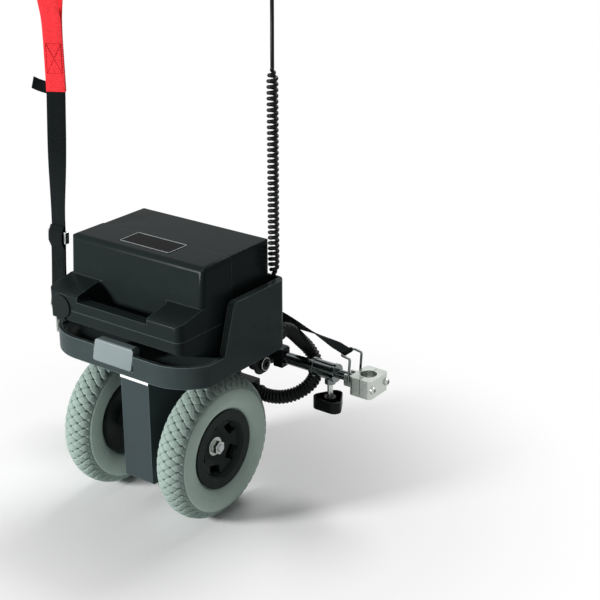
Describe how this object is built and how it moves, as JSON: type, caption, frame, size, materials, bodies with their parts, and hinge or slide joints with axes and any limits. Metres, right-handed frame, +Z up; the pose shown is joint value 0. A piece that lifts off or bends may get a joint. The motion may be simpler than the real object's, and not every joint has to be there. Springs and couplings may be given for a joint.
{
  "type": "wheelchair power assist unit",
  "caption": "Add-on twin-wheel drive that hangs on the back of a wheelchair: lift-out battery in a tray, leg with gear motor, telescopic clamp bar, lifting strap and hand control",
  "frame": {"origin": "on the floor under the tyres, in the middle of the unit's width and depth", "axes": "+X to the right as seen from behind the chair, along the axle and the clamp bar; +Y towards the chair; +Z up"},
  "size_m": [0.506, 0.281, 0.773],
  "materials": {
    "tyre_grey": "matt grey non-marking tyre",
    "rim_black": "satin black moulding",
    "zinc": "bright zinc plate",
    "steel": "ground steel",
    "bronze": "cut bronze",
    "cast_alloy": "as cast",
    "leg_paint": "slate grey powder coat",
    "black_paint": "black powder coat",
    "tray_plastic": "fine-grained black moulding",
    "case_plastic": "fine-grained black moulding",
    "panel_gloss": "gloss black",
    "button_silver": "silver grey moulding",
    "cell_case": "grey cell case",
    "black_plastic": "black moulding",
    "soft_rubber": "black rubber",
    "chrome": "bright chrome plate",
    "webbing_black": "woven webbing",
    "webbing_red": "woven webbing",
    "cord_jacket": "smooth cord jacket",
    "conduit_plastic": "ribbed black plastic",
    "lever_red": "red moulding"
  },
  "bodies": {
    "crossbar": {"crossbar_tube": "chrome", "bar_collars": "zinc", "hitch_blocks": "black_paint", "hitch_arms": "black_paint", "pivot_shaft": "steel", "lift_strap": "webbing_black", "strap_slider": "zinc", "pull_loop": "webbing_red", "release_strap": "webbing_black", "curly_cord": "cord_jacket", "control_case": "black_plastic", "control_clamp": "black_plastic"},
    "pack": {"leg_channel": "leg_paint", "base_plate": "black_paint", "rear_brackets": "leg_paint", "tray_shell": "tray_plastic", "gearbox_left": "cast_alloy", "gearbox_right": "cast_alloy", "gear_bearings": "steel", "motor_can": "black_paint", "motor_end_cap": "black_paint", "terminal_box": "black_plastic", "controller_box": "cast_alloy", "docking_plug": "black_plastic", "cord_gland": "soft_rubber", "strap_ring": "zinc", "conduit": "conduit_plastic", "latch_spring": "steel"},
    "wheels": {"drive_axle": "steel", "tyre_left": "tyre_grey", "tyre_right": "tyre_grey", "outer_rims": "rim_black", "inner_rims": "rim_black", "axle_washers": "zinc", "axle_nuts": "zinc", "worm_wheel": "bronze"},
    "worm": {"worm_shaft": "steel"},
    "battery": {"battery_lower_case": "case_plastic", "battery_front_cover": "case_plastic", "battery_rear_cover": "case_plastic", "battery_panel": "panel_gloss", "battery_cells": "cell_case", "battery_socket": "black_plastic", "charge_socket": "zinc"},
    "cap": {"charge_cap": "soft_rubber"},
    "button": {"release_button": "button_silver"},
    "bar_end_left": {"rod_left": "chrome", "frame_clamp_left": "zinc", "clamp_cap_left": "zinc"},
    "bar_end_right": {"rod_right": "chrome", "frame_clamp_right": "zinc", "clamp_cap_right": "zinc"},
    "catch_left": {"bail_left": "zinc"},
    "catch_right": {"bail_right": "zinc"},
    "screw_left": {"knob_left": "black_plastic", "stud_left": "zinc"},
    "screw_right": {"knob_right": "black_plastic", "stud_right": "zinc"},
    "lever": {"thumb_lever": "lever_red"},
    "dial": {"speed_dial": "black_plastic"}
  },
  "joints": [
    {"name": "pack_swing", "type": "hinge", "parent": "crossbar", "child": "pack", "pos_m": [0, 0.067, 0.182], "axis": [-1, 0, 0], "range_deg": [-4, 22], "deforming": ["lift_strap", "curly_cord"]},
    {"name": "wheel_spin", "type": "hinge", "parent": "pack", "child": "wheels", "pos_m": [0, -0.04, 0.1], "axis": [1, 0, 0], "continuous": true},
    {"name": "worm_spin", "type": "hinge", "parent": "pack", "child": "worm", "pos_m": [0, -0.04, 0.138], "axis": [0, 1, 0], "continuous": true},
    {"name": "battery_lift", "type": "slide", "parent": "pack", "child": "battery", "axis": [0, 0, 1], "range_m": [0, 0.15]},
    {"name": "cap_hinge", "type": "hinge", "parent": "battery", "child": "cap", "pos_m": [-0.088, -0.1358, 0.2741], "axis": [1, 0, 0], "range_deg": [0, 95]},
    {"name": "button_press", "type": "slide", "parent": "pack", "child": "button", "axis": [0, 1, 0], "range_m": [0, 0.005], "stiffness_N_per_m": 400, "springref_m": -0.001, "deforming": ["latch_spring"]},
    {"name": "rod_slide_left", "type": "slide", "parent": "crossbar", "child": "bar_end_left", "axis": [-1, 0, 0], "range_m": [-0.012, 0.035]},
    {"name": "rod_slide_right", "type": "slide", "parent": "crossbar", "child": "bar_end_right", "axis": [1, 0, 0], "range_m": [-0.012, 0.035], "deforming": ["release_strap"]},
    {"name": "catch_turn_left", "type": "hinge", "parent": "bar_end_left", "child": "catch_left", "pos_m": [-0.213, 0.102, 0.181], "axis": [0, 1, 0], "range_deg": [0, 28]},
    {"name": "catch_turn_right", "type": "hinge", "parent": "bar_end_right", "child": "catch_right", "pos_m": [0.213, 0.102, 0.181], "axis": [0, -1, 0], "range_deg": [0, 28]},
    {"name": "knob_turn_left", "type": "hinge", "parent": "crossbar", "child": "screw_left", "pos_m": [-0.174, 0.102, 0.15], "axis": [0, 0, 1], "range_deg": [0, 180]},
    {"name": "knob_turn_right", "type": "hinge", "parent": "crossbar", "child": "screw_right", "pos_m": [0.174, 0.102, 0.15], "axis": [0, 0, 1], "range_deg": [0, 180]},
    {"name": "thumb_press", "type": "hinge", "parent": "crossbar", "child": "lever", "pos_m": [0.116, 0.034, 0.72], "axis": [0, 0, 1], "range_deg": [0, 24], "stiffness_Nm_per_rad": 0.02},
    {"name": "dial_turn", "type": "hinge", "parent": "crossbar", "child": "dial", "pos_m": [0.138, 0.066, 0.72], "axis": [1, 0, 0], "range_deg": [0, 270]}
  ],
  "couplings": [
    {"joint": "worm_spin", "follows": "wheel_spin", "ratio": -30}
  ]
}
